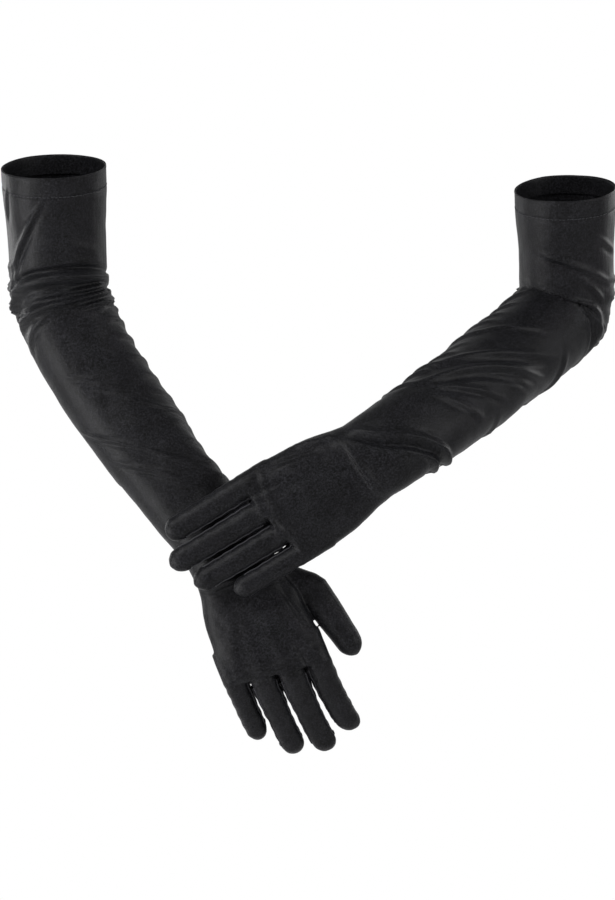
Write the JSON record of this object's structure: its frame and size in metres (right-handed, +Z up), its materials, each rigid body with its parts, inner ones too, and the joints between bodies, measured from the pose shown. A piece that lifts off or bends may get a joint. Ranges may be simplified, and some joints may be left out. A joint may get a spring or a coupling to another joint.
{
  "type": "opera gloves",
  "caption": "Pair of long black stretch-satin opera gloves shaped as worn, the left hand laid across the right wrist, with joints at elbows, wrists and fingers.",
  "frame": {"origin": "centre of the right glove's arm opening", "axes": "+Z up, +Y away from the viewer, +X to the viewer's right, towards the left glove"},
  "size_m": [0.4753, 0.1989, 0.456],
  "materials": {
    "satin": "stretch satin, soft sheen",
    "fourchette_satin": "stretch satin, wrong way of the cloth",
    "thread": "polyester thread"
  },
  "bodies": {
    "right_upper": {"right_upper_sleeve": "satin", "right_turned_hem": "satin", "right_hem_stitching": "thread", "right_upper_side_seam": "thread"},
    "right_forearm": {"right_forearm_sleeve": "satin", "right_forearm_side_seam": "thread"},
    "right_hand": {"right_hand_back": "satin", "right_hand_palm": "satin"},
    "right_thumb": {"right_thumb": "satin"},
    "right_index": {"right_index_finger": "satin", "right_index_fourchette_little_side": "fourchette_satin"},
    "right_middle": {"right_middle_finger": "satin", "right_middle_fourchette_thumb_side": "fourchette_satin", "right_middle_fourchette_little_side": "fourchette_satin"},
    "right_ring": {"right_ring_finger": "satin", "right_ring_fourchette_thumb_side": "fourchette_satin", "right_ring_fourchette_little_side": "fourchette_satin"},
    "right_little": {"right_little_finger": "satin", "right_little_fourchette_thumb_side": "fourchette_satin"},
    "left_upper": {"left_upper_sleeve": "satin", "left_turned_hem": "satin", "left_hem_stitching": "thread", "left_upper_side_seam": "thread"},
    "left_forearm": {"left_forearm_sleeve": "satin", "left_forearm_side_seam": "thread"},
    "left_hand": {"left_hand_back": "satin", "left_hand_palm": "satin"},
    "left_thumb": {"left_thumb": "satin"},
    "left_index": {"left_index_finger": "satin", "left_index_fourchette_little_side": "fourchette_satin"},
    "left_middle": {"left_middle_finger": "satin", "left_middle_fourchette_thumb_side": "fourchette_satin", "left_middle_fourchette_little_side": "fourchette_satin"},
    "left_ring": {"left_ring_finger": "satin", "left_ring_fourchette_thumb_side": "fourchette_satin", "left_ring_fourchette_little_side": "fourchette_satin"},
    "left_little": {"left_little_finger": "satin", "left_little_fourchette_thumb_side": "fourchette_satin"}
  },
  "joints": [
    {"name": "right_elbow", "type": "hinge", "parent": "right_upper", "child": "right_forearm", "pos_m": [0.00413, 0.03409, -0.09711], "axis": [-0.6361, -0.7192, -0.2796], "range_deg": [-25, 8]},
    {"name": "right_wrist", "type": "hinge", "parent": "right_forearm", "child": "right_hand", "pos_m": [0.13558, -0.00311, -0.30048], "axis": [0.9228, 0, 0.3853], "range_deg": [0, 35]},
    {"name": "right_thumb_spread", "type": "hinge", "parent": "right_hand", "child": "right_thumb", "pos_m": [0.19214, -0.00427, -0.31394], "axis": [-0.0579, -0.9886, 0.1388], "range_deg": [0, 30]},
    {"name": "right_index_curl", "type": "hinge", "parent": "right_hand", "child": "right_index", "pos_m": [0.19729, -0.01619, -0.36793], "axis": [0.9228, 0, 0.3853], "range_deg": [-35, 15]},
    {"name": "right_middle_curl", "type": "hinge", "parent": "right_hand", "child": "right_middle", "pos_m": [0.17764, -0.01635, -0.3772], "axis": [0.9228, 0, 0.3853], "range_deg": [-35, 15]},
    {"name": "right_ring_curl", "type": "hinge", "parent": "right_hand", "child": "right_ring", "pos_m": [0.15646, -0.01574, -0.38176], "axis": [0.9228, 0, 0.3853], "range_deg": [-35, 15]},
    {"name": "right_little_curl", "type": "hinge", "parent": "right_hand", "child": "right_little", "pos_m": [0.13487, -0.01454, -0.3822], "axis": [0.9228, 0, 0.3853], "range_deg": [-35, 15]},
    {"name": "left_glove_lift", "type": "slide", "parent": "right_forearm", "child": "left_hand", "axis": [0, -1, 0], "range_m": [0, 0.15]},
    {"name": "left_thumb_spread", "type": "hinge", "parent": "left_hand", "child": "left_thumb", "pos_m": [0.18866, -0.01592, -0.21685], "axis": [0.8437, 0.1607, 0.5122], "range_deg": [0, 25]},
    {"name": "left_index_curl", "type": "hinge", "parent": "left_hand", "child": "left_index", "pos_m": [0.14536, -0.03695, -0.23851], "axis": [0.519, 0, -0.8548], "range_deg": [-14, 0]},
    {"name": "left_middle_curl", "type": "hinge", "parent": "left_hand", "child": "left_middle", "pos_m": [0.15578, -0.03711, -0.25758], "axis": [0.519, 0, -0.8548], "range_deg": [-14, 0]},
    {"name": "left_ring_curl", "type": "hinge", "parent": "left_hand", "child": "left_ring", "pos_m": [0.17021, -0.03647, -0.27373], "axis": [0.519, 0, -0.8548], "range_deg": [-14, 0]},
    {"name": "left_little_curl", "type": "hinge", "parent": "left_hand", "child": "left_little", "pos_m": [0.18739, -0.03518, -0.28682], "axis": [0.519, 0, -0.8548], "range_deg": [-14, 0]},
    {"name": "left_wrist", "type": "hinge", "parent": "left_hand", "child": "left_forearm", "pos_m": [0.23483, -0.02297, -0.22041], "axis": [-0.519, 0, 0.8548], "range_deg": [0, 35]},
    {"name": "left_elbow", "type": "hinge", "parent": "left_forearm", "child": "left_upper", "pos_m": [0.39941, 0.11705, -0.10495], "axis": [0.7109, -0.6762, -0.1933], "range_deg": [-65, 8]}
  ]
}
